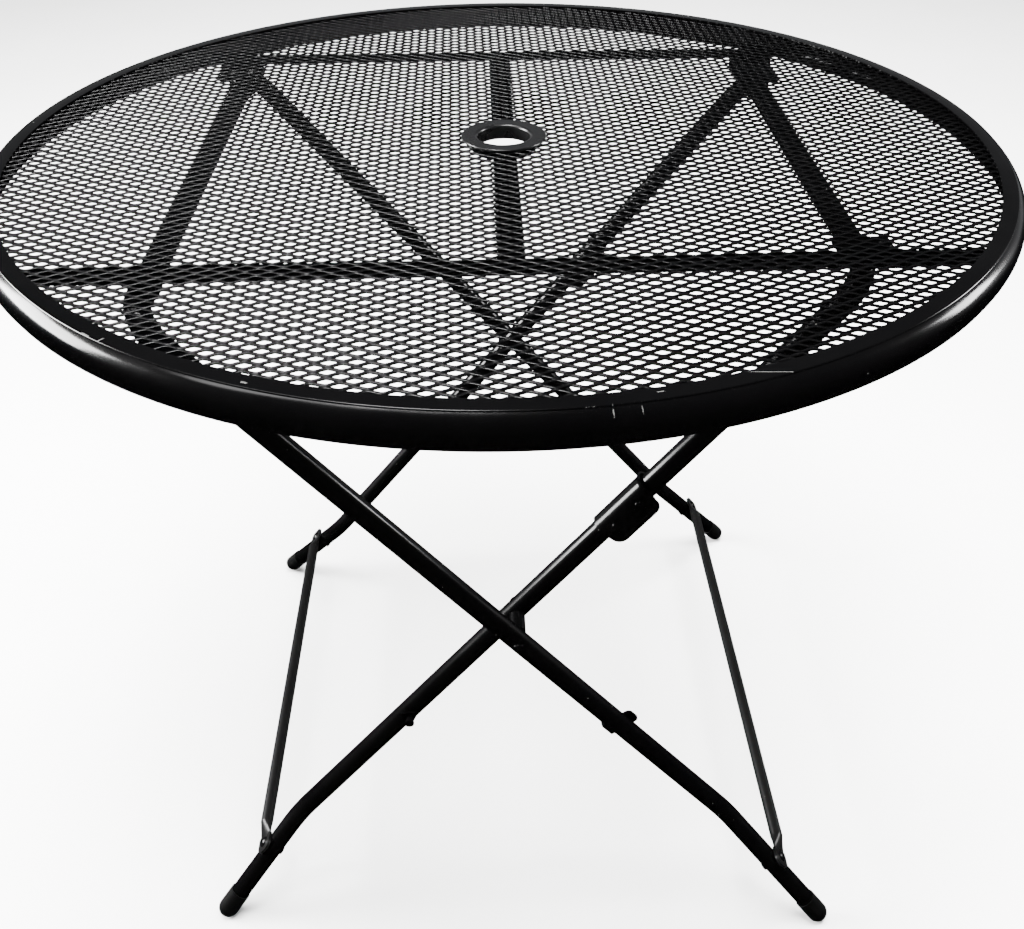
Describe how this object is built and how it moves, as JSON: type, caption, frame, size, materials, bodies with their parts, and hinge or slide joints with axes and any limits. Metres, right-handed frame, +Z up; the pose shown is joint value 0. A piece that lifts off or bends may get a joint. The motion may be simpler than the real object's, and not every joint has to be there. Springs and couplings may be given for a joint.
{
  "type": "folding umbrella table",
  "caption": "Round folding umbrella table: expanded-mesh top in a rolled rim, umbrella ring in the middle, crossed tube legs with locking knuckles.",
  "frame": {"origin": "on the floor under the middle of the round top, which is also the axis of the umbrella hole", "axes": "+Z up along the umbrella hole, +X to the right towards the feet of the outer leg frame, +Y to the rear; the front is the side with the storage catch"},
  "size_m": [0.87, 0.87, 0.7377],
  "materials": {
    "rim_coat": "gloss black powder coat with fine chips",
    "mesh_coat": "gloss black powder coat on expanded steel",
    "rail_coat": "satin black powder coat",
    "tube_coat": "gloss black powder coat on tube",
    "bracket_coat": "gloss black powder coat on pressed steel",
    "stretcher_coat": "worn satin dark grey coat",
    "fastener_coat": "black coated steel",
    "ring_plastic": "satin dark grey moulded plastic",
    "cap_plastic": "matt black moulded plastic"
  },
  "bodies": {
    "tabletop": {"rim": "rim_coat", "mesh_panel": "mesh_coat", "front_rail": "rail_coat", "rear_rail": "rail_coat", "front_centre_rail": "rail_coat", "rear_centre_rail": "rail_coat", "umbrella_collar": "rail_coat", "umbrella_ring": "ring_plastic", "left_front_hinge_plate": "bracket_coat", "left_rear_hinge_plate": "bracket_coat", "right_front_hinge_plate": "bracket_coat", "right_rear_hinge_plate": "bracket_coat", "left_front_hinge_strap": "bracket_coat", "left_rear_hinge_strap": "bracket_coat", "right_front_hinge_strap": "bracket_coat", "right_rear_hinge_strap": "bracket_coat", "hinge_rivets": "fastener_coat"},
    "outer_legs": {"outer_frame": "tube_coat", "outer_stretcher": "stretcher_coat", "outer_stretcher_rivets": "fastener_coat", "outer_front_foot_cap": "cap_plastic", "outer_rear_foot_cap": "cap_plastic", "pivot_bolts": "fastener_coat", "front_pivot_spacer": "bracket_coat", "rear_pivot_spacer": "bracket_coat", "catch_hook": "bracket_coat", "catch_hook_rivet": "fastener_coat"},
    "inner_upper_legs": {"inner_upper_frame": "tube_coat"},
    "front_knuckle_link": {"front_knuckle": "bracket_coat", "front_knuckle_rivets": "fastener_coat"},
    "rear_knuckle_link": {"rear_knuckle": "bracket_coat", "rear_knuckle_rivets": "fastener_coat"},
    "inner_lower_legs": {"inner_front_leg": "tube_coat", "inner_rear_leg": "tube_coat", "inner_stretcher": "stretcher_coat", "inner_stretcher_rivets": "fastener_coat", "inner_front_foot_cap": "cap_plastic", "inner_rear_foot_cap": "cap_plastic", "front_pivot_nut": "fastener_coat", "rear_pivot_nut": "fastener_coat", "catch_tab": "bracket_coat", "catch_stud": "fastener_coat"}
  },
  "joints": [
    {"name": "leg_fold", "type": "hinge", "parent": "tabletop", "child": "outer_legs", "pos_m": [-0.265, 0, 0.7104], "axis": [0, -1, 0], "range_deg": [0, 42.88]},
    {"name": "inner_upper_swing", "type": "hinge", "parent": "tabletop", "child": "inner_upper_legs", "pos_m": [0.265, 0, 0.7104], "axis": [0, 1, 0], "range_deg": [0, 48.8]},
    {"name": "front_knuckle_upper_pivot", "type": "hinge", "parent": "inner_upper_legs", "child": "front_knuckle_link", "pos_m": [0.10276, -0.226, 0.50837], "axis": [0, -1, 0], "range_deg": [0, 118.39]},
    {"name": "rear_knuckle_upper_pivot", "type": "hinge", "parent": "inner_upper_legs", "child": "rear_knuckle_link", "pos_m": [0.10276, 0.226, 0.50837], "axis": [0, -1, 0], "range_deg": [0, 118.39]},
    {"name": "knuckle_lower_pivot", "type": "hinge", "parent": "front_knuckle_link", "child": "inner_lower_legs", "pos_m": [0.08461, -0.226, 0.48613], "axis": [0, -1, 0], "range_deg": [0, 50.91]}
  ],
  "couplings": [
    {"joint": "inner_upper_swing", "follows": "leg_fold", "ratio": 1.1377},
    {"joint": "front_knuckle_upper_pivot", "follows": "leg_fold", "ratio": 2.7606},
    {"joint": "rear_knuckle_upper_pivot", "follows": "leg_fold", "ratio": 2.7606},
    {"joint": "knuckle_lower_pivot", "follows": "leg_fold", "ratio": 1.187}
  ]
}
